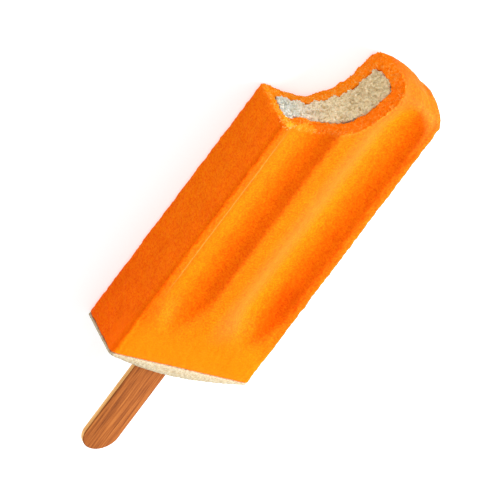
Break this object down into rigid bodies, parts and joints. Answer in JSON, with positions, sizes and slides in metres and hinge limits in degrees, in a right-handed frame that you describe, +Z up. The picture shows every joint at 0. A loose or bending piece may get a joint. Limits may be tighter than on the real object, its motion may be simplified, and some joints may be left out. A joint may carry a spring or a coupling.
{
  "type": "ice pop",
  "caption": "Fluted ice pop lying on its back: a fruit ice shell round a vanilla ice cream core, bitten at the tip, on a flat wooden stick.",
  "frame": {"origin": "on the resting plane, under the middle of the whole ice pop's box", "axes": "+Y along the bar from the stick to the tip, +X to the right seen from above, +Z up out of the shown front face"},
  "size_m": [0.046, 0.1378, 0.016],
  "materials": {
    "fruit_ice": "frozen fruit ice, satin, fine icy grain",
    "ice_cream": "vanilla ice cream, matt, finely porous",
    "stick_wood": "sanded bare wood, straight grain"
  },
  "bodies": {
    "root": {"fruit_ice_shell": "fruit_ice", "ice_cream_core": "ice_cream", "stick": "stick_wood"}
  },
  "joints": []
}
